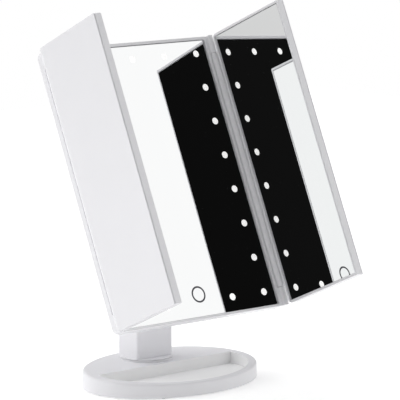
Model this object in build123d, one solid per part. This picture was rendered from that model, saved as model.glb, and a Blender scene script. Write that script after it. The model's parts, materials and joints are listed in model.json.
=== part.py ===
from build123d import *
import math
import os

# Trifold vanity mirror with a ring of small lights, a tilting head, two folding
# wings and a swivelling neck on an oval base. Millimetres, +Z up. The origin lies
# on the table, on the axis of the neck's swivel. The mirror faces -Y.

# ---- driving dimensions: base -------------------------------------------------
BASE_A = 78.5            # half width of the oval
BASE_B = 57.2            # half depth of the oval
BASE_Y = -32.5           # the oval's centre, in front of the swivel axis
BASE_TOP = 13.8          # height of the top surface at the oval's centre
BASE_SLOPE = 0.037       # rise of the top surface per millimetre towards the back
BASE_DRAFT = 0.4         # the wall is this much wider at the bottom
BASE_EDGE = 1.9          # rounding of the top edge
FOOT_H = 0.8             # how far the rubber feet stand proud
BASE_WALL = 2.4
SLOT_A = 70.0            # D-shaped tray: half width and half depth of its arc
SLOT_B = 52.8
SLOT_BACK = 6.0          # its straight edge, behind the oval's centre
TRAY_FLOOR = 4.3         # height of its floor above the table
TRAY_T = 1.8
PLATE_T = 1.5            # bottom plate
BASE_BOSSES = ((60, 18), (-60, 18), (36, 44), (-36, 44))

# ---- driving dimensions: neck -------------------------------------------------
NECK_W = 37.0
NECK_D = 27.6
NECK_EDGE = 3.4
NECK_WALL = 2.2
PAD_R = 22.5             # flat round pad on the base's sloping top, under the foot
PAD_Z = 15.9
FLANGE_R = 22.0
FLANGE_Z = 16.2
FLANGE_T = 0.9
COLLAR_H = 4.0           # the foot's collar flares by COLLAR_FLARE down to the flange
COLLAR_FLARE = 0.4
SEAT_R = 18.0
SPIGOT_R = 8.95
SPIGOT_BORE_R = 9.0
PIVOT_Z = 112.0          # height of the tilt axis
SHELL_TOP = 98.0         # where the neck's shells end and its head begins

# ---- driving dimensions: head -------------------------------------------------
LEAN = 24.66             # how far the mirror leans back, degrees
HEAD_Y = -76.21          # bottom centre of the mirror's front plane
HEAD_Z = 60.66
GLASS_LOW = 0.3          # the mirrors stand on their lower rims
GLASS_TOP = 230.1
GLASS_HALF = 78.0
GAP_LOW = 0.15           # gaps between each mirror and its frame: below, above,
GAP_TOP = 0.8            # on the hinge sides and at the wings' free edges
GAP_HINGE = 2.0
GAP_FREE = 0.35
BOTTOM = -2.0            # lower and upper ends of the head's frame
TOP = 233.5
HEAD_HALF = 86.8
HEAD_DEPTH = 10.4
HEAD_EDGE = 1.2
FRONT_EDGE = 0.5         # rounding of the frames' front edges
CORNER = 6.0
LIP = -0.25              # front of the frames, behind the hinge plane
GLASS_FRONT = -0.45
GLASS_BACK = -2.95
SEAM = -3.2              # where the front frame meets the rear cover
CARRIER_BACK = -5.2      # back of the plate that carries the mirror
SHELL_WALL = 1.6
INSIDE_HALF = 82.6       # half width inside the rear cover

LIGHT_U = 67.46          # lights: columns at +-LIGHT_U
LIGHT_V = 12.02          # lowest row
LIGHT_PITCH = 29.57
LIGHT_ROWS = 8
WINDOW_R = 2.9
WINDOW_T = 0.35
TOUCH_V = 18.37
TOUCH_R = 6.9
TOUCH_LINE = 1.5

BOX_HALF = 52.0          # battery and electronics box on the back
BOX_LOW = 48.0
BOX_HIGH = 168.0
BOX_BACK = -27.0
BOX_WALL = 2.0
DOOR_HALF = 33.0
DOOR_LOW = 98.0
CELL_R = 7.2             # AA cells
CELL_L = 49.2
CELL_PITCH = 14.8
CELL_V = 110.0
CELL_W = -16.6

# ---- driving dimensions: hinges and wings -------------------------------------
HINGE_U = 85.9           # hinge axes, in the plane of the mirror
BARREL_R = 2.9
COVE_R = 3.4
GROOVE_LOW = -4.2        # slot beside each barrel, in the head's side wall
GROOVE_DEPTH = 1.2
KNUCKLE = 15.6           # length of the head's end knuckles
KNUCKLE_GAP = 0.3
PIN_R = 0.9
PIN_BORE_R = 0.95
WING_NEAR = 3.7          # wing body, from the hinge axis
WING_FAR = 85.2
WING_T = 7.6
WING_SEAM = -3.4
WING_GLASS_NEAR = 7.7
WING_GLASS_FAR = 83.5
WING_GLASS_BACK = -2.45
WING_EDGE = 0.6          # rounding of the back edges, and of the one beside the hinge
WING_ROLL = 3.8
WING_LOW = -2.1
WING_HIGH = 232.9
WING_FREE_CORNER = 1.2
WING_HINGE_CORNER = 4.0
WING_PARTING = (-7.1, -6.5)
RIGHT_OPEN = 85.5        # how far each wing is folded forward, degrees
LEFT_OPEN = 88.5

# ---- driving dimensions: tilt joint -------------------------------------------
BRACKET_HALF = 23.8
BRACKET_T = 3.0
EAR_IN = 19.2
EAR_T = 3.0
EAR_R = 9.0
BOLT_R = 3.0
BOLT_BORE_R = 3.06

FLOOR = (Align.CENTER, Align.CENTER, Align.MIN)


# ---- shapes used again and again ----------------------------------------------
def block(low, high):
    size = [h - l for l, h in zip(low, high)]
    middle = [(h + l) / 2 for l, h in zip(low, high)]
    return Pos(*middle) * Box(*size)


def plate(low, high, corner):
    """A block with the four edges that run along Z rounded."""
    width, depth = high[0] - low[0], high[1] - low[1]
    sheet = RectangleRounded(width, depth, corner)
    return Pos((low[0] + high[0]) / 2, (low[1] + high[1]) / 2, low[2]) * extrude(sheet, high[2] - low[2])


def disc(radius, low, high, x=0.0, y=0.0):
    return Pos(x, y, low) * Cylinder(radius, high - low, align=FLOOR)


def ring(outer, inner, low, high, x=0.0, y=0.0):
    return disc(outer, low, high, x, y) - disc(inner, low - 1, high + 1, x, y)


def rod_x(radius, low, high, y=0.0, z=0.0):
    return Pos(low, y, z) * Rot(0, 90, 0) * Cylinder(radius, high - low, align=FLOOR)


def rod_y(radius, low, high, x=0.0, z=0.0):
    return Pos(x, low, z) * Rot(-90, 0, 0) * Cylinder(radius, high - low, align=FLOOR)


def group(shapes):
    return Compound([solid for shape in shapes for solid in shape.solids()])


def back_edges(shape, level):
    """The outline edges of a shape at one height along Z."""
    return shape.edges().filter_by_position(Axis.Z, level - 0.01, level + 0.01)


def screw(head_r, head_t, shank_r, length, x, y, z):
    """A pan-head screw whose head starts at height z and whose shank points to +Z."""
    head = disc(head_r, z, z + head_t, x, y)
    head = head - block((x - head_r, y - 0.35, z - 1), (x + head_r, y + 0.35, z + head_t * 0.45))
    return head + disc(shank_r, z + head_t, z + head_t + length, x, y)


# ---- base: oval shell with a D-shaped tray ------------------------------------
def oval(grow, low, high):
    """The base's oval, grown by an amount, between two heights, about the oval's centre."""
    return Pos(0, 0, low) * extrude(Ellipse(BASE_A + grow, BASE_B + grow), high - low)


def below_slope(drop):
    """Everything under the sloping top surface, lowered by an amount."""
    reach = 100.0
    low_end = BASE_TOP - BASE_SLOPE * reach - drop
    high_end = BASE_TOP + BASE_SLOPE * reach - drop
    outline = Polyline((-reach, -5), (reach, -5), (reach, high_end), (-reach, low_end), close=True)
    side = Plane(origin=(-reach, 0, 0), x_dir=(0, 1, 0), z_dir=(1, 0, 0))
    return extrude(side * make_face(outline), 2 * reach)


def behind(distance):
    """Everything behind the tray's straight edge, moved back by an amount."""
    return block((-100, SLOT_BACK + distance, -5), (100, 100, 30))


def make_base_shell():
    wall = extrude(Ellipse(BASE_A + BASE_DRAFT, BASE_B + BASE_DRAFT), 30, taper=BASE_DRAFT / 15 * 180 / math.pi)
    shell = (Pos(0, 0, FOOT_H) * wall) & below_slope(0)
    rim = [edge for edge in shell.edges() if edge.center().Z > 8]
    shell = fillet(rim, BASE_EDGE)
    tray = extrude(Ellipse(SLOT_A, SLOT_B), 30) & block((-100, -100, -5), (100, SLOT_BACK, 40))
    hollow_under = tray & block((-100, -100, -5), (100, 100, TRAY_FLOOR - TRAY_T))
    shell = shell - tray.moved(Pos(0, 0, TRAY_FLOOR)) - hollow_under
    cavity = oval(-BASE_WALL, FOOT_H, 20) & behind(BASE_WALL) & below_slope(BASE_WALL)
    shell = shell - cavity
    shell = shell - (oval(-1.2, 0, FOOT_H + PLATE_T) & behind(1.2))
    swivel = -BASE_Y
    pad = disc(PAD_R, 12.0, PAD_Z, 0, swivel)
    pad = fillet(back_edges(pad, PAD_Z), 0.5)
    shell = shell + pad + disc(SEAT_R, 12, FLANGE_Z - 0.1, 0, swivel) + disc(13.5, 11.5, 13, 0, swivel)
    shell = shell - disc(SPIGOT_BORE_R, 5, 20, 0, swivel)
    bosses = [disc(4, FOOT_H + PLATE_T, 12.5, x, y) & below_slope(1) for x, y in BASE_BOSSES]
    shell = shell + bosses
    shell = shell - [disc(1.2, 0, 10, x, y) for x, y in BASE_BOSSES]
    return shell - [disc(r, 0, 2 * FOOT_H, x, y) for x, y, r in RIM_FEET]


RIM_FEET = ((74.2, -4, 3.0), (-74.2, -4, 3.0), (43.5, -44.4, 1.6), (-43.5, -44.4, 1.6))
PLATE_FEET = ((0, -BASE_Y, 8.0), (48, 28, 5.0), (-48, 28, 5.0))


def make_bottom_plate():
    sheet = oval(-1.4, FOOT_H, FOOT_H + PLATE_T) & behind(1.4)
    holes = [disc(1.6, 0, 5, x, y) for x, y in BASE_BOSSES]
    recesses = [disc(3.1, 0, FOOT_H + 0.9, x, y) for x, y in BASE_BOSSES]
    return sheet - holes - recesses


def make_base_weight():
    low, high = FOOT_H + PLATE_T + 0.1, 9.9
    slab = oval(-BASE_WALL - 0.6, low, high) & behind(BASE_WALL + 0.6)
    slab = slab - disc(15.5, 0, 20, 0, -BASE_Y)
    return slab - [disc(4.6, 0, 20, x, y) for x, y in BASE_BOSSES]


def make_base():
    place = Pos(0, BASE_Y, 0)
    feet = [disc(r, 0, 2 * FOOT_H, x, y) for x, y, r in RIM_FEET]
    feet += [disc(r, 0, FOOT_H, x, y) for x, y, r in PLATE_FEET]
    screws = [screw(2.9, 0.85, 1.2, 7.2, x, y, FOOT_H) for x, y in BASE_BOSSES]
    return {
        "base_shell": place * make_base_shell(),
        "base_bottom_plate": place * make_bottom_plate(),
        "base_weight": place * make_base_weight(),
        "rubber_feet": place * group(feet),
        "base_screws": place * group(screws),
    }


# ---- neck: foot, two shells and a head that carries the tilt bolt ---------------
def neck_box(inset, low, high):
    corner = max(NECK_EDGE - inset, 0.8)
    half_w, half_d = NECK_W / 2 - inset, NECK_D / 2 - inset
    return plate((-half_w, -half_d, low), (half_w, half_d, high), corner)


PLUG = NECK_WALL + 0.15
NECK_SCREW_Z = (29.0, 89.0)


def make_neck_shell(front):
    low, high = FLANGE_Z + FLANGE_T + COLLAR_H, SHELL_TOP
    tube = neck_box(0, low, high) - neck_box(NECK_WALL, low - 1, high + 1)
    if front:
        return tube & block((-50, -50, 0), (50, 0, 200))
    tube = tube & block((-50, 0, 0), (50, 50, 200))
    for z in NECK_SCREW_Z:
        tube = tube - Pos(0, 0, z) * Rot(-90, 0, 0) * disc(1.5, 0, 20)
        tube = tube - Pos(0, 0, z) * Rot(-90, 0, 0) * disc(2.8, NECK_D / 2 - 1.1, 20)
    return tube


def make_neck_foot():
    flange = disc(FLANGE_R, FLANGE_Z, FLANGE_Z + FLANGE_T)
    flange = fillet(back_edges(flange, FLANGE_Z + FLANGE_T), 0.5)
    flare = math.degrees(math.atan(COLLAR_FLARE / COLLAR_H))
    widest = RectangleRounded(NECK_W + 2 * COLLAR_FLARE, NECK_D + 2 * COLLAR_FLARE, NECK_EDGE + COLLAR_FLARE)
    collar = Pos(0, 0, FLANGE_Z + FLANGE_T) * extrude(widest, COLLAR_H, taper=flare)
    foot = flange + collar + neck_box(PLUG, FLANGE_Z + FLANGE_T, 38) + disc(SPIGOT_R, 10.2, FLANGE_Z)
    foot = foot - disc(1.7, 10, 22)
    return foot - Pos(0, 0, NECK_SCREW_Z[0]) * Rot(-90, 0, 0) * disc(1.1, 2, 20)


def make_neck_head():
    barrel = rod_x(NECK_D / 2, -NECK_W / 2, NECK_W / 2, 0, PIVOT_Z)
    head = neck_box(0, SHELL_TOP, PIVOT_Z) + barrel + neck_box(PLUG, 80, SHELL_TOP)
    head = head - rod_x(BOLT_BORE_R, -30, 30, 0, PIVOT_Z)
    return head - Pos(0, 0, NECK_SCREW_Z[1]) * Rot(-90, 0, 0) * disc(1.1, 2, 20)


def neck_screw(z):
    lying = screw(2.6, 0.9, 1.1, 8.0, 0, 0, 0)
    return Pos(0, NECK_D / 2 - 0.15, z) * Rot(90, 0, 0) * lying


def make_neck():
    return {
        "neck_foot": make_neck_foot(),
        "neck_front_shell": make_neck_shell(True),
        "neck_rear_shell": make_neck_shell(False),
        "neck_head": make_neck_head(),
        "neck_screws": group([neck_screw(z) for z in NECK_SCREW_Z]),
        "swivel_spring_washer": ring(12.6, 9.3, 10.2, 11.2),
        "swivel_retainer": ring(13.2, 2.2, 9.2, 10.2),
        "swivel_screw": screw(3.6, 1.8, 1.7, 9.0, 0, 0, 7.4),
    }


# ---- head: housing, mirror, lights, electronics --------------------------------
def light_places():
    """Centres of the 21 lights: two columns, three across the top, two across the bottom."""
    rows = [LIGHT_V + LIGHT_PITCH * row for row in range(LIGHT_ROWS)]
    places = [(side * LIGHT_U, v) for side in (-1, 1) for v in rows]
    places += [(u, rows[-1]) for u in (-LIGHT_U / 2, 0, LIGHT_U / 2)]
    places += [(u, rows[0]) for u in (-LIGHT_U / 2, LIGHT_U / 2)]
    return places


COVER_SCREWS = [(side * 77.0, v) for side in (-1, 1) for v in (24, 84, 146, 206)]
KNUCKLE_SPANS = ((BOTTOM, BOTTOM + KNUCKLE), (TOP - KNUCKLE, TOP))
BARREL_SPAN = (BOTTOM + KNUCKLE + KNUCKLE_GAP, TOP - KNUCKLE - KNUCKLE_GAP)


def coves():
    low, high = KNUCKLE_SPANS[0][1], KNUCKLE_SPANS[1][0]
    return [rod_y(COVE_R, low, high, side * HINGE_U, 0) for side in (-1, 1)]


def grooves():
    """The slots in the head's side walls beside the wings' barrels."""
    low, high = KNUCKLE_SPANS[0][1], KNUCKLE_SPANS[1][0]
    cuts = []
    for side in (-1, 1):
        inner, outer = sorted((side * (HEAD_HALF - GROOVE_DEPTH), side * (HEAD_HALF + 1)))
        cuts.append(block((inner, low, GROOVE_LOW), (outer, high, SEAM + 1)))
    return cuts


def make_front_frame():
    frame = plate((-HEAD_HALF, BOTTOM, SEAM), (HEAD_HALF, TOP, LIP), CORNER)
    frame = fillet(back_edges(frame, LIP), FRONT_EDGE)
    window = GLASS_HALF + GAP_HINGE
    frame = frame - plate((-window, GLASS_LOW - GAP_LOW, SEAM - 1), (window, GLASS_TOP + GAP_TOP, 1), 1.2)
    frame = frame - coves()
    carrier = plate((-INSIDE_HALF + 0.3, 0.1, CARRIER_BACK), (INSIDE_HALF - 0.3, TOP - 2.2, SEAM), 2)
    frame = frame + carrier
    for side in (-1, 1):
        for low, high in KNUCKLE_SPANS:
            inner, outer = sorted((side * 83.0, side * HINGE_U))
            knuckle = rod_y(BARREL_R, low, high, side * HINGE_U, 0)
            knuckle = fillet(knuckle.edges().filter_by(GeomType.CIRCLE), 0.6)
            frame = frame + block((inner, low + 0.6, SEAM), (outer, high - 0.6, 0)) + knuckle
    frame = frame - [rod_y(PIN_R, low, high, u, 0) for u, low, high in pin_spans()]
    frame = frame + [disc(2.2, -8.8, CARRIER_BACK, u, v) for u, v in COVER_SCREWS]
    frame = frame - [disc(0.9, -9, SEAM - 0.8, u, v) for u, v in COVER_SCREWS]
    frame = frame - [disc(4.0, -6, 0, u, v) for u, v in light_places()]
    return frame - disc(7.2, -6, 0, 0, TOUCH_V)


def pin_spans():
    """Each stub pin: its hinge, and its two ends. It is fast in the head and turns in the wing."""
    hold, reach = 11.0, 10.0
    low, high = KNUCKLE_SPANS[0][1], KNUCKLE_SPANS[1][0]
    spans = []
    for side in (-1, 1):
        spans.append((side * HINGE_U, low - hold, low + reach))
        spans.append((side * HINGE_U, high - reach, high + hold))
    return spans


def box_outside():
    body = plate((-BOX_HALF, BOX_LOW, BOX_BACK), (BOX_HALF, BOX_HIGH, -HEAD_DEPTH + 1), 8)
    return fillet(back_edges(body, BOX_BACK), 3.0)


SWITCH_U = 36.0
SWITCH_V = 70.0
SWITCH_TRAVEL = 4.0
USB_V = 72.0
BOARD_BACK = -19.6
BOARD_FRONT = -18.0
BOARD_POSTS = ((40, 57), (-40, 57), (40, 90), (-40, 90))
BRACKET_SCREWS = ((15, 64), (-15, 64), (15, 92), (-15, 92))


def make_rear_cover():
    tray = plate((-HEAD_HALF, BOTTOM, -HEAD_DEPTH), (HEAD_HALF, TOP, SEAM), CORNER)
    tray = fillet(back_edges(tray, -HEAD_DEPTH), HEAD_EDGE)
    tray = tray - coves() - grooves()
    tray = tray + box_outside()
    floor = -HEAD_DEPTH + SHELL_WALL
    tray = tray - plate((-INSIDE_HALF, -0.2, floor), (INSIDE_HALF, TOP - 1.9, 1), 2.5)
    inside = BOX_HALF - BOX_WALL
    tray = tray - plate((-inside, BOX_LOW + BOX_WALL, BOX_BACK + BOX_WALL), (inside, BOX_HIGH - BOX_WALL, 0), 6)
    gap = 0.3
    doorway = block((-DOOR_HALF - gap, DOOR_LOW - gap, -40), (DOOR_HALF + gap, BOX_HIGH + 5, BOX_BACK + BOX_WALL))
    tray = tray - doorway
    tray = tray - [disc(1.2, -12, floor + 1, u, v) for u, v in COVER_SCREWS]
    tray = tray - [disc(2.4, -12, -9.5, u, v) for u, v in COVER_SCREWS]
    inner_back = BOX_BACK + BOX_WALL
    tray = tray + [disc(3.4, inner_back, -20.8, u, v) for u, v in BRACKET_SCREWS]
    tray = tray - [disc(1.5, -30, -21.4, u, v) for u, v in BRACKET_SCREWS]
    tray = tray + [disc(3.0, inner_back, BOARD_BACK, u, v) for u, v in BOARD_POSTS]
    tray = tray - [disc(1.0, -24.4, 0, u, v) for u, v in BOARD_POSTS]
    slot_low, slot_high = SWITCH_V - 1.7, SWITCH_V + SWITCH_TRAVEL + 1.7
    tray = tray - block((SWITCH_U - 1.7, slot_low, -30), (SWITCH_U + 1.7, slot_high, inner_back + 1))
    return tray - block((-BOX_HALF - 1, USB_V - 4.7, -18.3), (-BOX_HALF + 3, USB_V + 4.7, -14.5))


def make_battery_door():
    reach = BOX_HIGH + 5
    panel = box_outside() & block((-DOOR_HALF, DOOR_LOW, -40), (DOOR_HALF, reach, BOX_BACK + BOX_WALL - 0.1))
    for row in range(5):
        v = DOOR_LOW + 8 + 3 * row
        panel = panel - block((-10, v, -40), (10, v + 1.2, BOX_BACK + 0.5))
    for side in (-1, 1):
        for v in (106, 142):
            rib_in, rib_out = sorted((side * 31.4, side * DOOR_HALF))
            tab_in, tab_out = sorted((side * 31.4, side * (DOOR_HALF + 2)))
            panel = panel + block((rib_in, v, -25.3), (rib_out, v + 6, -23.2))
            panel = panel + block((tab_in, v, -24.7), (tab_out, v + 6, -23.2))
    return panel


def make_mirror_glass():
    sheet = plate((-GLASS_HALF, GLASS_LOW, GLASS_BACK), (GLASS_HALF, GLASS_TOP, GLASS_FRONT), 1.1)
    level = GLASS_FRONT - WINDOW_T
    sheet = sheet - [disc(WINDOW_R, level, 0, u, v) for u, v in light_places()]
    return sheet - ring(TOUCH_R, TOUCH_R - TOUCH_LINE, level, 0, 0, TOUCH_V)


def make_adhesive():
    sheet = plate((-76, 2, SEAM), (76, GLASS_TOP - 2, GLASS_BACK), 1)
    sheet = sheet - [disc(4.6, -6, 0, u, v) for u, v in light_places()]
    return sheet - disc(7.6, -6, 0, 0, TOUCH_V)


BOARD_T = 1.0
LED_T = 1.5


def led_board(low, high):
    return block((*low, CARRIER_BACK - BOARD_T), (*high, CARRIER_BACK))


def make_lights():
    top = LIGHT_V + LIGHT_PITCH * (LIGHT_ROWS - 1)
    column = (LIGHT_V - 6, top + 6)
    across = LIGHT_U - 4.4
    level = GLASS_FRONT - WINDOW_T
    back, front = CARRIER_BACK, CARRIER_BACK + LED_T
    leds = [block((u - 1.4, v - 1.75, back), (u + 1.4, v + 1.75, front)) for u, v in light_places()]
    return {
        "led_windows": group([disc(WINDOW_R, level, GLASS_FRONT, u, v) for u, v in light_places()]),
        "leds": group(leds),
        "led_board_right": led_board((LIGHT_U - 4, column[0]), (LIGHT_U + 4, column[1])),
        "led_board_left": led_board((-LIGHT_U - 4, column[0]), (-LIGHT_U + 4, column[1])),
        "led_board_top": led_board((-across, top - 4), (across, top + 4)),
        "led_board_bottom": led_board((-across, LIGHT_V - 4), (across, LIGHT_V + 2.8)),
    }


def make_touch():
    level = GLASS_FRONT - WINDOW_T
    return {
        "touch_ring": ring(TOUCH_R, TOUCH_R - TOUCH_LINE, level, GLASS_FRONT, 0, TOUCH_V),
        "touch_sensor": disc(TOUCH_R, GLASS_BACK - 1.0, GLASS_BACK, 0, TOUCH_V),
    }


CELL_PLACES = [CELL_V + CELL_PITCH * n for n in range(4)]


def cell(v, turned):
    can = rod_x(CELL_R, -CELL_L / 2, CELL_L / 2 - 1.0, v, CELL_W)
    nub = rod_x(2.7, CELL_L / 2 - 1.0, CELL_L / 2, v, CELL_W)
    whole = can + nub
    return mirror(whole, about=Plane.YZ) if turned else whole


def contact_pair(v, turned):
    """A flat plate at the cell's nub and a bent leaf spring at its other end."""
    side = -1 if turned else 1
    flat_in, flat_out = sorted((side * (CELL_L / 2), side * (CELL_L / 2 + 0.5)))
    flat = block((flat_in, v - 5.5, CELL_W - 5.5), (flat_out, v + 5.5, CELL_W + 5.5))
    wall = CELL_L / 2 + 2.6
    leaf = Polyline((wall, v - 5), (wall, v + 5), (wall - 0.4, v + 5), (wall - 2.3, v + 0.8),
                    (wall - 2.3, v - 0.8), (wall - 0.4, v - 5), close=True)
    hollow = Polyline((wall - 0.4, v - 4), (wall - 0.4, v + 4), (wall - 1.9, v + 0.5),
                      (wall - 1.9, v - 0.5), close=True)
    spring = Pos(0, 0, CELL_W - 4) * extrude(make_face(leaf) - make_face(hollow), 8)
    if not turned:
        spring = mirror(spring, about=Plane.YZ)
    return [flat, spring]


def make_battery_tray():
    low, high = CELL_PLACES[0] - CELL_R - 2.2, BOX_HIGH - BOX_WALL
    half = CELL_L / 2 + 4.4
    outside = block((-half, low, -24.8), (half, high, -8.0))
    inside = block((-half + 1.6, low + 1.6, -26), (half - 1.6, CELL_PLACES[-1] + CELL_R + 0.4, -9.2))
    tray = outside - inside
    for v in CELL_PLACES[:-1]:
        rib = v + CELL_PITCH / 2
        tray = tray + block((-half + 1, rib - 0.12, -9.4), (half - 1, rib + 0.12, -8.4))
    return tray


def make_electronics():
    board = plate((-46, 53, BOARD_BACK), (46, 94, BOARD_FRONT), 1)
    board = board - [disc(1.2, -21, -17, u, v) for u, v in BOARD_POSTS]
    usb_low, usb_high = USB_V - 4.4, USB_V + 4.4
    usb = block((-51.6, usb_low, BOARD_FRONT), (-44.2, usb_high, BOARD_FRONT + 3.2))
    usb = usb - block((-52, usb_low + 0.35, BOARD_FRONT + 0.35), (-45.2, usb_high - 0.35, BOARD_FRONT + 2.85))
    usb = usb + block((-50.6, USB_V - 3.2, BOARD_FRONT + 1.25), (-45, USB_V + 3.2, BOARD_FRONT + 1.95))
    parts = [
        block((-8, 66, BOARD_FRONT), (-2, 71, BOARD_FRONT + 1.4)),
        block((6, 62, BOARD_FRONT), (11, 66, BOARD_FRONT + 1.2)),
        disc(3.1, BOARD_FRONT, BOARD_FRONT + 6, 22, 80),
        disc(3.1, BOARD_FRONT, BOARD_FRONT + 6, -20, 84),
        block((-32, 58, BOARD_FRONT), (-25, 65, BOARD_FRONT + 3)),
        block((14, 86, BOARD_FRONT), (26, 91, BOARD_FRONT + 5)),
    ]
    low, high = SWITCH_V - 4.5, SWITCH_V + SWITCH_TRAVEL + 4.5
    switch = block((SWITCH_U - 4, low, -24.2), (SWITCH_U + 4, high, BOARD_BACK))
    track = block((SWITCH_U - 1.7, SWITCH_V - 1.7, -26), (SWITCH_U + 1.7, SWITCH_V + SWITCH_TRAVEL + 1.7, -21.6))
    knob = block((SWITCH_U - 2.4, SWITCH_V - 3, -28.5), (SWITCH_U + 2.4, SWITCH_V + 3, -27.2))
    for row in range(3):
        v = SWITCH_V - 1.8 + 1.5 * row
        knob = knob - block((SWITCH_U - 3, v, -30), (SWITCH_U + 3, v + 0.6, -28.1))
    stem = block((SWITCH_U - 1.4, SWITCH_V - 1.4, -27.4), (SWITCH_U + 1.4, SWITCH_V + 1.4, -22.0))
    screws = [Pos(u, v, BOARD_FRONT + 0.9) * Rot(180, 0, 0) * screw(2.0, 0.9, 1.0, 4.6, 0, 0, 0) for u, v in BOARD_POSTS]
    cells = [cell(v, n % 2 == 1) for n, v in enumerate(CELL_PLACES)]
    contacts = [piece for n, v in enumerate(CELL_PLACES) for piece in contact_pair(v, n % 2 == 1)]
    return {
        "control_board": board,
        "board_components": group(parts),
        "board_screws": group(screws),
        "usb_socket": usb,
        "power_switch": switch - track,
        "power_slider": knob + stem,
        "battery_tray": make_battery_tray(),
        "batteries": group(cells),
        "battery_contacts": group(contacts),
    }


# ---- tilt joint ----------------------------------------------------------------
def to_head(y, z):
    """A point of the row's YZ plane in the head's own (v, w) coordinates."""
    lean = math.radians(LEAN)
    dy, dz = y - HEAD_Y, z - HEAD_Z
    return dy * math.sin(lean) + dz * math.cos(lean), dz * math.sin(lean) - dy * math.cos(lean)


PIVOT_V, PIVOT_W = to_head(0, PIVOT_Z)


def make_bracket():
    front = BOX_BACK - BRACKET_T
    bracket = plate((-BRACKET_HALF, 58, front), (BRACKET_HALF, 97, BOX_BACK), 4)
    bracket = bracket - [disc(1.7, -40, 0, u, v) for u, v in BRACKET_SCREWS]
    for side in (-1, 1):
        low, high = sorted((side * EAR_IN, side * (EAR_IN + EAR_T)))
        outline = Polyline((PIVOT_V - 13, front), (PIVOT_V + 13, front), (PIVOT_V + EAR_R, PIVOT_W),
                           (PIVOT_V - EAR_R, PIVOT_W), close=True)
        web = extrude(Plane(origin=(low, 0, 0), x_dir=(0, 1, 0), z_dir=(1, 0, 0)) * make_face(outline), high - low)
        bracket = bracket + web + rod_x(EAR_R, low, high, PIVOT_V, PIVOT_W)
    return bracket - rod_x(BOLT_R, -40, 40, PIVOT_V, PIVOT_W)


def make_tilt_joint():
    outer = EAR_IN + EAR_T
    bolt = rod_x(BOLT_R, -outer - 4.4, outer, PIVOT_V, PIVOT_W)
    bolt = bolt + rod_x(5.6, outer, outer + 3.2, PIVOT_V, PIVOT_W)
    socket = Plane(origin=(outer + 1.4, PIVOT_V, PIVOT_W), x_dir=(0, 1, 0), z_dir=(1, 0, 0))
    bolt = bolt - extrude(socket * RegularPolygon(2.4, 6), 4)
    nut_at = Plane(origin=(-outer - 3.6, PIVOT_V, PIVOT_W), x_dir=(0, 1, 0), z_dir=(1, 0, 0))
    nut = extrude(nut_at * RegularPolygon(5.8, 6), 3.6) - rod_x(BOLT_R, -40, 40, PIVOT_V, PIVOT_W)
    washers = []
    for side in (-1, 1):
        low, high = sorted((side * (NECK_W / 2 + 0.1), side * EAR_IN))
        washer = rod_x(9.0, low, high, PIVOT_V, PIVOT_W) - rod_x(BOLT_R + 0.05, -40, 40, PIVOT_V, PIVOT_W)
        washers.append(washer)
    heads = [screw(2.9, 1.6, 1.5, 7.4, u, v, BOX_BACK - BRACKET_T - 1.6) for u, v in BRACKET_SCREWS]
    return {
        "hinge_bracket": make_bracket(),
        "bracket_screws": group(heads),
        "tilt_bolt": bolt,
        "tilt_nut": nut,
        "friction_washers": group(washers),
    }


def make_head():
    pins = [rod_y(PIN_R, low, high, u, 0) for u, low, high in pin_spans()]
    return {
        "front_frame": make_front_frame(),
        "rear_cover": make_rear_cover(),
        "mirror_glass": make_mirror_glass(),
        "mirror_adhesive": make_adhesive(),
        "battery_door": make_battery_door(),
        "rear_cover_screws": group([screw(2.3, 0.8, 0.9, 4.4, u, v, -10.3) for u, v in COVER_SCREWS]),
        "left_hinge_pins": group(pins[:2]),
        "right_hinge_pins": group(pins[2:]),
        **make_lights(),
        **make_touch(),
        **make_electronics(),
        **make_tilt_joint(),
    }


# ---- wings: drawn once, for the right-hand side, from the hinge axis outwards ----
def wing_plate(inset, low, high):
    """The wing's outline between two depths: small corners at the free edge, large ones at the hinge."""
    width, height = WING_FAR - WING_NEAR - 2 * inset, WING_HIGH - WING_LOW - 2 * inset
    middle = ((WING_NEAR + WING_FAR) / 2, (WING_LOW + WING_HIGH) / 2, (low + high) / 2)
    slab = Pos(*middle) * Box(width, height, high - low)
    corners = slab.edges().filter_by(Axis.Z).sort_by(Axis.X)
    slab = fillet(corners[:2], WING_HINGE_CORNER - inset)
    corners = slab.edges().filter_by(Axis.Z).sort_by(Axis.X)
    return fillet(corners[-2:], max(WING_FREE_CORNER - inset, 0.4))


def rolled(low, high, first, second):
    """A rectangle from low to high whose two lower corners are rounded by first and second."""
    sheet = Pos((low[0] + high[0]) / 2, (low[1] + high[1]) / 2) * Rectangle(high[0] - low[0], high[1] - low[1])
    sheet = fillet(sheet.vertices().sort_by(Axis.Y)[:2].sort_by(Axis.X)[0], first)
    return fillet(sheet.vertices().sort_by(Axis.Y)[:2].sort_by(Axis.X)[-1], second)


def wing_body(inset, low, high):
    """The wing's outline between two depths, with its back edges rounded."""
    near, far = WING_NEAR + inset, WING_FAR - inset
    bottom, top = WING_LOW + inset, WING_HIGH - inset
    edge = max(WING_EDGE - inset, 0.2)
    along = Plane(origin=(0, top, 0), x_dir=(1, 0, 0), z_dir=(0, -1, 0))
    across = Plane(origin=(near, 0, 0), x_dir=(0, 1, 0), z_dir=(1, 0, 0))
    body = wing_plate(inset, low, high)
    body = body & extrude(along * rolled((near, low), (far, high), WING_ROLL - inset, edge), top - bottom)
    return body & extrude(across * rolled((bottom, low), (top, high), edge, edge), far - near)


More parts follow.
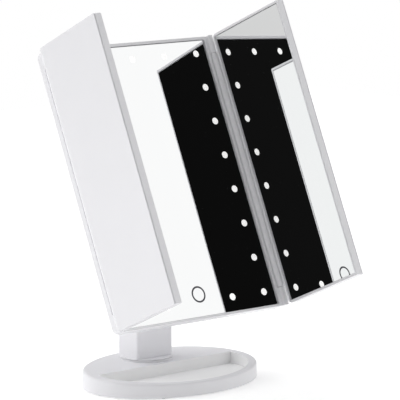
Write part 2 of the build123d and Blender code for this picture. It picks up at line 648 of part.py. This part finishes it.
def make_wing_shell():
    shell = wing_body(0, -WING_T, WING_SEAM)
    low, high = WING_PARTING
    shell = shell - (wing_plate(-1, low, high) - wing_plate(0.5, low - 1, high + 1))
    floor = -WING_T + 1.5
    shell = shell - wing_body(SHELL_WALL, floor, 0)
    ribs = [block((0, v - 0.6, -WING_T), (WING_FAR, v + 0.6, -3.45)) for v in (38, 77, 115, 154, 192)]
    ribs += [block((s - 0.6, 0, -WING_T), (s + 0.6, WING_HIGH, -3.45)) for s in (31, 59)]
    inner = wing_body(SHELL_WALL - 0.5, floor - 0.5, 0)
    shell = shell + [rib & inner for rib in ribs]
    low, high = BARREL_SPAN
    web = Polyline((0, -1.0), (WING_NEAR, -1.0), (WING_NEAR, WING_SEAM), (5.4, WING_SEAM), (5.4, -5.0),
                   (4.1, -4.8), (2.3, -2.4), (0, -2.4), close=True)
    across = Plane(origin=(0, high, 0), x_dir=(1, 0, 0), z_dir=(0, -1, 0))
    shell = shell + extrude(across * make_face(web), high - low) + rod_y(BARREL_R, low, high)
    return shell - rod_y(PIN_BORE_R, low - 1, low + 12) - rod_y(PIN_BORE_R, high - 12, high + 1)


def make_wing():
    near, far = WING_GLASS_NEAR, WING_GLASS_FAR
    frame = wing_plate(0, WING_SEAM, LIP)
    frame = fillet(back_edges(frame, LIP), FRONT_EDGE)
    pocket_low = (near - GAP_HINGE, GLASS_LOW - GAP_LOW, WING_GLASS_BACK)
    frame = frame - plate(pocket_low, (far + GAP_FREE, GLASS_TOP + GAP_TOP, 1), 1.0)
    frame = frame - plate((9.6, 3, WING_SEAM - 1), (81.6, GLASS_TOP - 3, 1), 1.0)
    return {
        "wing_shell": make_wing_shell(),
        "wing_frame": frame,
        "wing_mirror": plate((near, GLASS_LOW, WING_GLASS_BACK), (far, GLASS_TOP, GLASS_FRONT), 0.8),
        "wing_foam_pad": plate((10, 4, -3.45), (80, GLASS_TOP - 4, WING_GLASS_BACK), 1),
    }


# ---- assembly ------------------------------------------------------------------
def head_point(u, v, w):
    lean = math.radians(LEAN)
    return (u, HEAD_Y + v * math.sin(lean) - w * math.cos(lean), HEAD_Z + v * math.cos(lean) + w * math.sin(lean))


def head_plane(u, turn):
    """The head's plane, moved to u and turned about the head's long axis by an angle in degrees."""
    lean = math.radians(LEAN)
    forward = (0, -math.cos(lean), math.sin(lean))
    c, s = math.cos(math.radians(turn)), math.sin(math.radians(turn))
    x_dir = (c, s * forward[1], s * forward[2])
    z_dir = (-s, c * forward[1], c * forward[2])
    return Plane(origin=head_point(u, 0, 0), x_dir=x_dir, z_dir=z_dir)


def assemble():
    nodes = dict(make_base())
    nodes.update(make_neck())
    head = head_plane(0, 0).location
    nodes.update({name: shape.moved(head) for name, shape in make_head().items()})
    right = head_plane(HINGE_U, RIGHT_OPEN).location
    left = head_plane(-HINGE_U, -LEFT_OPEN).location
    for name, shape in make_wing().items():
        nodes["right_" + name] = shape.moved(right)
        nodes["left_" + name] = mirror(shape, about=Plane.YZ).moved(left)
    return nodes


os.makedirs("parts", exist_ok=True)
for node, shape in assemble().items():
    shape.label = node
    export_step(shape, f"parts/{node}.step")
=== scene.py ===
import json
import math

import bpy
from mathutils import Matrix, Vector

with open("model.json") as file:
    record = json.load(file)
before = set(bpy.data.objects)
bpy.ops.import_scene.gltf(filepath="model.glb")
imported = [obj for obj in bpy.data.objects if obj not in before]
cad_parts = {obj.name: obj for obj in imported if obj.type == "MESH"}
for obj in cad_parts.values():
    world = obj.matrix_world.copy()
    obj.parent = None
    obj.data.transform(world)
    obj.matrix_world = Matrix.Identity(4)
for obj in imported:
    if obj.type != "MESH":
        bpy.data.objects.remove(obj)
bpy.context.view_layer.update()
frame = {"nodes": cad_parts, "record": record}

# ---- driving values -------------------------------------------------------------
# Camera: a long lens, low and to the object's left, aimed just in front of the neck.
AIM = Vector((0.0327, -0.0310, 0.1459))
CAMERA_AZIMUTH = -40.03
CAMERA_ELEVATION = 8.95
CAMERA_DISTANCE = 2.240
SENSOR_WIDTH = 36.0
LENS = 247.4

# Studio: a pale floor under a soft white surround. The side behind the camera is dark, as
# a studio is, and the mirrors show that. The far side, behind the object, is dimmer too.
FLOOR_HALF = 1.5
# How strongly the floor glows on the object, and how strongly it glows as seen by the camera.
FLOOR_GLOW = 0.30
FLOOR_SEEN = 0.24
SURROUND = 0.96
# Each light adds to the surround: azimuth, elevation, inner and outer angle, strength.
LIGHTS = (
    (-112.0, 44.0, 15.0, 85.0, 0.82),
    (-92.0, 14.0, 10.0, 50.0, 0.46),
    (34.0, 30.0, 10.0, 26.0, 0.03),
)
# Each dark patch multiplies it: azimuth, elevation, inner and outer angle, what is left.
DARKS = (
    (-45.0, 25.0, 24.0, 60.0, 0.003),
    (-131.0, -7.0, 14.0, 26.0, 0.41),
    (140.0, 10.0, 30.0, 74.0, 0.64),
)

# Facets smaller than this (square metres) and meeting at less than this angle are shaded smooth.
FACET_AREA = 60e-6
SHARP_ANGLE = 26.0

MM = 0.001

# The base's tray: half width and half depth of its oval, the oval's centre, and just behind
# its straight back wall.
TRAY_A = 70.0 * MM
TRAY_B = 52.8 * MM
TRAY_Y = -32.5 * MM
TRAY_BACK = -26.45 * MM
# Its painted light ends just past its walls: over this much of the oval's squared reach, and over this
# length.
TRAY_REACH = (1.002, 1.010)
TRAY_FADE = 0.1 * MM


# ---- node helpers -----------------------------------------------------------------
def direction(azimuth, elevation):
    """A unit vector from the object. Azimuth 0 is towards -Y, 90 towards +X."""
    a, e = math.radians(azimuth), math.radians(elevation)
    return Vector((math.sin(a) * math.cos(e), -math.cos(a) * math.cos(e), math.sin(e)))


def math_node(tree, operation, first, second):
    node = tree.nodes.new("ShaderNodeMath")
    node.operation = operation
    for socket, value in zip(node.inputs, (first, second)):
        if isinstance(value, float):
            socket.default_value = value
        else:
            tree.links.new(value, socket)
    return node.outputs[0]


def map_range(tree, value, low, high, to_low, to_high, smooth=False):
    node = tree.nodes.new("ShaderNodeMapRange")
    node.interpolation_type = "SMOOTHSTEP" if smooth else "LINEAR"
    tree.links.new(value, node.inputs["Value"])
    for name, number in (("From Min", low), ("From Max", high), ("To Min", to_low), ("To Max", to_high)):
        node.inputs[name].default_value = number
    return node.outputs["Result"]


def mix_colour(tree, factor, first, second):
    node = tree.nodes.new("ShaderNodeMix")
    node.data_type = "RGBA"
    tree.links.new(factor, node.inputs["Factor"])
    for name, value in (("A", first), ("B", second)):
        socket = [s for s in node.inputs if s.name == name and s.type == "RGBA"][0]
        if isinstance(value, bpy.types.NodeSocket):
            tree.links.new(value, socket)
        else:
            socket.default_value = (*value, 1.0)
    return [s for s in node.outputs if s.type == "RGBA"][0]


def places(tree, stretch=(1.0, 1.0, 1.0), turn=(0.0, 0.0, 0.0)):
    """Places on the object in metres, stretched and turned."""
    source = tree.nodes.new("ShaderNodeTexCoord").outputs["Object"]
    mapping = tree.nodes.new("ShaderNodeMapping")
    mapping.inputs["Scale"].default_value = stretch
    mapping.inputs["Rotation"].default_value = [math.radians(t) for t in turn]
    tree.links.new(source, mapping.inputs["Vector"])
    return mapping.outputs["Vector"]


def noise(tree, vector, size, detail=3.0, rough=0.55):
    """Noise from 0 to 1 whose features are about size metres across."""
    node = tree.nodes.new("ShaderNodeTexNoise")
    node.inputs["Scale"].default_value = 1.0 / size
    node.inputs["Detail"].default_value = detail
    node.inputs["Roughness"].default_value = rough
    tree.links.new(vector, node.inputs["Vector"])
    return node.outputs["Fac"]


def bump(tree, height, depth):
    node = tree.nodes.new("ShaderNodeBump")
    node.inputs["Distance"].default_value = depth
    node.inputs["Strength"].default_value = 1.0
    tree.links.new(height, node.inputs["Height"])
    return node.outputs["Normal"]


def new_material(name, **sockets):
    material = bpy.data.materials.new(name)
    material.use_nodes = True
    tree = material.node_tree
    shader = tree.nodes["Principled BSDF"]
    for socket, value in sockets.items():
        shader.inputs[socket.replace("_", " ")].default_value = value
    return material, tree, shader


# ---- materials ---------------------------------------------------------------------
# Moulded plastic: the size and direction of its flow marks, how much they darken it, the
# size of the haze and how much that changes the gloss.
FLOW_SIZE = 38 * MM
FLOW_STRETCH = (1.0, 1.0, 0.35)
FLOW_DIMMED = 0.99
HAZE_SIZE = 9 * MM
HAZE_CHANGE = 0.05
# Pitch of the dots in a lamp window and of the tracks on a board.
LAMP_DOTS = 0.5 * MM
TRACK_PITCH = 6 * MM
# Where the coloured band on a cell's sleeve begins, and how soft its edge is.
BAND_START = 9 * MM
BAND_EDGE = 0.4 * MM


def moulded(name, colour, roughness, grain=0.35 * MM, depth=0.006 * MM):
    """Injection-moulded plastic: a fine spark grain, soft flow marks and handling haze."""
    material, tree, shader = new_material(name, Specular_IOR_Level=0.5)
    fine = noise(tree, places(tree), grain, detail=2.0)
    flow = noise(tree, places(tree, FLOW_STRETCH), FLOW_SIZE, detail=2.0)
    haze = noise(tree, places(tree), HAZE_SIZE, detail=4.0)
    shade = map_range(tree, flow, 0.3, 0.7, 0.0, 1.0)
    dimmed = [channel * FLOW_DIMMED for channel in colour]
    tree.links.new(mix_colour(tree, shade, dimmed, colour), shader.inputs["Base Color"])
    glossy, dull = roughness * (1 - HAZE_CHANGE), roughness * (1 + HAZE_CHANGE)
    gloss = map_range(tree, haze, 0.25, 0.75, glossy, dull)
    tree.links.new(gloss, shader.inputs["Roughness"])
    tree.links.new(bump(tree, fine, depth), shader.inputs["Normal"])
    return material


def painted_tray(name, colour, painted_light, roughness):
    """The base's plastic, with painted light inside its D-shaped tray: a whiter colour there stands in
    for the light its floor and walls catch.
    """
    material = moulded(name, colour, roughness)
    tree = material.node_tree
    base_colour = tree.nodes["Principled BSDF"].inputs["Base Color"]
    place = tree.nodes.new("ShaderNodeSeparateXYZ")
    tree.links.new(places(tree), place.inputs[0])
    across = math_node(tree, "DIVIDE", place.outputs["X"], TRAY_A)
    forward = math_node(tree, "SUBTRACT", place.outputs["Y"], TRAY_Y)
    along = math_node(tree, "DIVIDE", forward, TRAY_B)
    squares = [math_node(tree, "MULTIPLY", part, part) for part in (across, along)]
    in_oval = map_range(tree, math_node(tree, "ADD", *squares), *TRAY_REACH, 1.0, 0.0)
    in_front = map_range(tree, place.outputs["Y"], TRAY_BACK, TRAY_BACK + TRAY_FADE, 1.0, 0.0)
    inside = math_node(tree, "MULTIPLY", in_oval, in_front)
    # Painted light: inside the tray the colour is made whiter, standing in for the light the floor and
    # walls catch.
    painted_colour = mix_colour(tree, inside, base_colour.links[0].from_socket, painted_light)
    tree.links.new(painted_colour, base_colour)
    return material


def silvered(name):
    """Silvered glass with the faintest wipe marks."""
    material, tree, shader = new_material(name, Metallic=1.0)
    wipes = noise(tree, places(tree, (1.0, 0.3, 0.3), (0, 0, 20)), 30 * MM, detail=5.0)
    tint = mix_colour(tree, wipes, (0.955, 0.962, 0.962), (0.965, 0.970, 0.970))
    tree.links.new(tint, shader.inputs["Base Color"])
    tree.links.new(map_range(tree, wipes, 0.3, 0.8, 0.0, 0.012), shader.inputs["Roughness"])
    return material


def milky(name):
    """Diffusing window over a lamp, with a dotted texture and a glow of its own."""
    material, tree, shader = new_material(name, Roughness=0.35, Emission_Strength=0.4)
    shader.inputs["Emission Color"].default_value = (1.0, 0.99, 0.97, 1.0)
    cells = tree.nodes.new("ShaderNodeTexVoronoi")
    cells.inputs["Scale"].default_value = 1 / LAMP_DOTS
    tree.links.new(places(tree), cells.inputs["Vector"])
    fade = map_range(tree, cells.outputs["Distance"], 0.0, 0.8, 0.0, 1.0)
    milk = mix_colour(tree, fade, (0.97, 0.97, 0.96), (0.92, 0.92, 0.92))
    tree.links.new(milk, shader.inputs["Base Color"])
    tree.links.new(bump(tree, cells.outputs["Distance"], 0.02 * MM), shader.inputs["Normal"])
    return material


def printed(name, colour):
    """Ink with a little mottle."""
    material, tree, shader = new_material(name, Roughness=0.45)
    mottle = noise(tree, places(tree), 0.4 * MM, detail=2.0)
    lighter = [channel * 1.35 for channel in colour]
    tree.links.new(mix_colour(tree, mottle, colour, lighter), shader.inputs["Base Color"])
    tree.links.new(bump(tree, mottle, 0.004 * MM), shader.inputs["Normal"])
    return material


def metal(name, colour, roughness):
    """Drawn or turned metal: fine lines along one direction and small tarnish spots."""
    material, tree, shader = new_material(name, Metallic=1.0)
    lines = noise(tree, places(tree, (1.0, 0.04, 1.0)), 0.12 * MM, detail=2.0)
    spots = noise(tree, places(tree), 2.5 * MM, detail=5.0, rough=0.7)
    dull = [channel * 0.72 for channel in colour]
    stain = map_range(tree, spots, 0.52, 0.75, 0.0, 0.6, smooth=True)
    tree.links.new(mix_colour(tree, stain, colour, dull), shader.inputs["Base Color"])
    rough = map_range(tree, lines, 0.2, 0.8, roughness * 0.7, roughness * 1.4)
    tree.links.new(rough, shader.inputs["Roughness"])
    tree.links.new(bump(tree, lines, 0.005 * MM), shader.inputs["Normal"])
    return material


def rough_solid(name, colour, second, size, depth, roughness):
    """Foam, fibre, rubber or cast iron: two tones and a pitted surface."""
    material, tree, shader = new_material(name)
    grain = noise(tree, places(tree), size, detail=6.0, rough=0.65)
    blotch = noise(tree, places(tree), size * 9, detail=2.0)
    factor = math_node(tree, "MULTIPLY", grain, blotch)
    factor = map_range(tree, factor, 0.15, 0.4, 0.0, 1.0)
    tree.links.new(mix_colour(tree, factor, colour, second), shader.inputs["Base Color"])
    rough = map_range(tree, grain, 0.2, 0.8, roughness * 0.85, roughness)
    tree.links.new(rough, shader.inputs["Roughness"])
    tree.links.new(bump(tree, grain, depth), shader.inputs["Normal"])
    return material


def board(name, mask, copper):
    """Circuit board: solder mask with raised tracks under it and a woven core."""
    material, tree, shader = new_material(name, Roughness=0.3)
    tracks = tree.nodes.new("ShaderNodeTexBrick")
    tracks.inputs["Scale"].default_value = 1 / TRACK_PITCH
    tracks.inputs["Mortar Size"].default_value = 0.05
    tree.links.new(places(tree, (1, 1, 1), (65, 0, 0)), tracks.inputs["Vector"])
    weave = noise(tree, places(tree), 0.6 * MM, detail=1.0)
    ground = mix_colour(tree, weave, mask, [channel * 0.8 for channel in mask])
    tree.links.new(mix_colour(tree, tracks.outputs["Fac"], ground, copper), shader.inputs["Base Color"])
    tree.links.new(bump(tree, tracks.outputs["Fac"], 0.03 * MM), shader.inputs["Normal"])
    return material


def sleeve(name, body, band):
    """A cell's shrink sleeve: one coloured band along its length, with a satin gloss."""
    material, tree, shader = new_material(name, Roughness=0.28, Metallic=0.35)
    split = tree.nodes.new("ShaderNodeSeparateXYZ")
    tree.links.new(places(tree), split.inputs[0])
    edge = map_range(tree, split.outputs["X"], BAND_START, BAND_START + BAND_EDGE, 0.0, 1.0)
    wrinkle = noise(tree, places(tree, (0.2, 1, 1)), 1.2 * MM, detail=3.0)
    tree.links.new(mix_colour(tree, edge, body, band), shader.inputs["Base Color"])
    tree.links.new(bump(tree, wrinkle, 0.03 * MM), shader.inputs["Normal"])
    return material


# The white plastic; the same plastic painted paler on the neck as painted light; and the painted light
# inside the tray.
WHITE = (0.790, 0.787, 0.810)
# Painted light: the neck's plastic is a paler copy of the white, standing in for the light the wings keep
# off it.
NECK_PAINTED_LIGHT = (0.835, 0.831, 0.858)
# Painted light: a whiter colour for the tray's floor and walls.
TRAY_PAINTED_LIGHT = (0.98, 0.98, 0.98)
STEEL = (0.62, 0.62, 0.64)
MATERIALS = {
    # The base's plastic, with painted light in its tray.
    "base_plastic": painted_tray("base_plastic", WHITE, TRAY_PAINTED_LIGHT, 0.48),
    # The neck's paler plastic is painted light.
    "neck_plastic": moulded("neck_plastic", NECK_PAINTED_LIGHT, 0.46),
    "housing_plastic": moulded("housing_plastic", WHITE, 0.26, grain=0.5 * MM, depth=0.003 * MM),
    "wing_plastic": moulded("wing_plastic", WHITE, 0.26, grain=0.5 * MM, depth=0.003 * MM),
    "plate_plastic": moulded("plate_plastic", (0.70, 0.70, 0.71), 0.55, grain=0.6 * MM, depth=0.02 * MM),
    "tray_plastic": moulded("tray_plastic", (0.68, 0.68, 0.68), 0.5, grain=0.6 * MM, depth=0.02 * MM),
    "switch_black": moulded("switch_black", (0.020, 0.020, 0.022), 0.42, grain=0.4 * MM, depth=0.02 * MM),
    "component": moulded("component", (0.024, 0.024, 0.026), 0.48, grain=0.3 * MM, depth=0.02 * MM),
    "mirror": silvered("mirror"),
    "window_white": milky("window_white"),
    "touch_print": printed("touch_print", (0.055, 0.055, 0.065)),
    "adhesive": rough_solid(
        "adhesive", (0.70, 0.70, 0.66), (0.60, 0.60, 0.56),
        size=0.8 * MM, depth=0.05 * MM, roughness=0.8,
    ),
    "foam": rough_solid(
        "foam", (0.62, 0.62, 0.60), (0.50, 0.50, 0.48),
        size=0.7 * MM, depth=0.12 * MM, roughness=0.95,
    ),
    "friction_fibre": rough_solid(
        "friction_fibre", (0.16, 0.10, 0.06), (0.09, 0.055, 0.03),
        size=0.4 * MM, depth=0.05 * MM, roughness=0.85,
    ),
    "weight_iron": rough_solid(
        "weight_iron", (0.035, 0.035, 0.038), (0.07, 0.066, 0.062),
        size=1.1 * MM, depth=0.15 * MM, roughness=0.6,
    ),
    "foot_rubber": rough_solid(
        "foot_rubber", (0.63, 0.63, 0.64), (0.56, 0.56, 0.57),
        size=0.5 * MM, depth=0.04 * MM, roughness=0.9,
    ),
    "circuit_board": board("circuit_board", (0.012, 0.105, 0.045), (0.03, 0.19, 0.08)),
    "lamp_board": board("lamp_board", (0.80, 0.80, 0.77), (0.86, 0.85, 0.80)),
    "lamp": rough_solid(
        "lamp", (0.86, 0.72, 0.22), (0.80, 0.62, 0.15),
        size=0.3 * MM, depth=0.01 * MM, roughness=0.35,
    ),
    "socket_metal": metal("socket_metal", (0.70, 0.69, 0.68), 0.24),
    "contact_metal": metal("contact_metal", (0.74, 0.72, 0.68), 0.18),
    "fastener_steel": metal("fastener_steel", STEEL, 0.30),
    "bracket_metal": moulded("bracket_metal", (0.72, 0.72, 0.735), 0.42, grain=0.9 * MM, depth=0.03 * MM),
    "cell_jacket": sleeve("cell_jacket", (0.035, 0.045, 0.065), (0.52, 0.38, 0.16)),
}


def smooth(mesh):
    """Smooth shading on the small facets of curved faces; wide flat faces stay flat."""
    for face in mesh.polygons:
        face.use_smooth = face.area < FACET_AREA
    mesh.set_sharp_from_angle(angle=math.radians(SHARP_ANGLE))


def dress_frame():
    """Gives every CAD node the material of its slot."""
    for subpart in frame["record"]["subparts"]:
        node = frame["nodes"][subpart["node"]]
        node.data.materials.clear()
        node.data.materials.append(MATERIALS[subpart["material_slot"]])
        smooth(node.data)


# ---- studio --------------------------------------------------------------------------
def lobe(tree, ray, towards, inner, outer):
    """1 within inner degrees of a direction, falling smoothly to 0 at outer degrees."""
    dot = tree.nodes.new("ShaderNodeVectorMath")
    dot.operation = "DOT_PRODUCT"
    tree.links.new(ray, dot.inputs[0])
    dot.inputs[1].default_value = towards
    low, high = math.cos(math.radians(outer)), math.cos(math.radians(inner))
    return map_range(tree, dot.outputs["Value"], low, high, 0.0, 1.0, smooth=True)


def surround():
    """White surround with the lights and the dark patches, plain white as the camera sees it."""
    world = bpy.data.worlds.new("studio")
    world.use_nodes = True
    bpy.context.scene.world = world
    tree = world.node_tree
    background = tree.nodes["Background"]
    background.inputs["Color"].default_value = (1.0, 1.0, 1.0, 1.0)
    ray = tree.nodes.new("ShaderNodeTexCoord").outputs["Generated"]
    level = SURROUND
    for azimuth, elevation, inner, outer, strength in LIGHTS:
        glow = lobe(tree, ray, direction(azimuth, elevation), inner, outer)
        level = math_node(tree, "ADD", math_node(tree, "MULTIPLY", glow, strength), level)
    for azimuth, elevation, inner, outer, left in DARKS:
        shade = lobe(tree, ray, direction(azimuth, elevation), inner, outer)
        level = math_node(tree, "MULTIPLY", level, map_range(tree, shade, 0.0, 1.0, 1.0, left))
    seen = tree.nodes.new("ShaderNodeLightPath").outputs["Is Camera Ray"]
    level = math_node(tree, "MAXIMUM", level, seen)
    tree.links.new(level, background.inputs["Strength"])


def pale_floor():
    """A pale matt floor with the slightest mottle, which glows a little."""
    mesh = bpy.data.meshes.new("floor")
    corners = [(x * FLOOR_HALF, y * FLOOR_HALF, 0.0) for x, y in ((-1, -1), (1, -1), (1, 1), (-1, 1))]
    mesh.from_pydata(corners, [], [(0, 1, 2, 3)])
    floor = bpy.data.objects.new("floor", mesh)
    bpy.context.scene.collection.objects.link(floor)
    material, tree, shader = new_material("floor", Roughness=0.9, Specular_IOR_Level=0.0)
    shader.inputs["Emission Color"].default_value = (1, 1, 1, 1)
    seen = tree.nodes.new("ShaderNodeLightPath").outputs["Is Camera Ray"]
    glow = map_range(tree, seen, 0.0, 1.0, FLOOR_GLOW, FLOOR_SEEN)
    tree.links.new(glow, shader.inputs["Emission Strength"])
    mottle = noise(tree, places(tree), 0.4, detail=2.0)
    pale = mix_colour(tree, mottle, (0.95, 0.95, 0.95), (0.97, 0.97, 0.97))
    tree.links.new(pale, shader.inputs["Base Color"])
    mesh.materials.append(material)


def camera():
    data = bpy.data.cameras.new("camera")
    data.sensor_width = SENSOR_WIDTH
    data.lens = LENS
    data.clip_start, data.clip_end = 0.1, 60.0
    item = bpy.data.objects.new("camera", data)
    bpy.context.scene.collection.objects.link(item)
    back = direction(CAMERA_AZIMUTH, CAMERA_ELEVATION)
    item.location = AIM + back * CAMERA_DISTANCE
    item.rotation_mode = "QUATERNION"
    item.rotation_quaternion = (-back).to_track_quat("-Z", "Y")
    bpy.context.scene.camera = item


camera()
surround()
pale_floor()
dress_frame()
bpy.context.scene.view_settings.view_transform = "Standard"
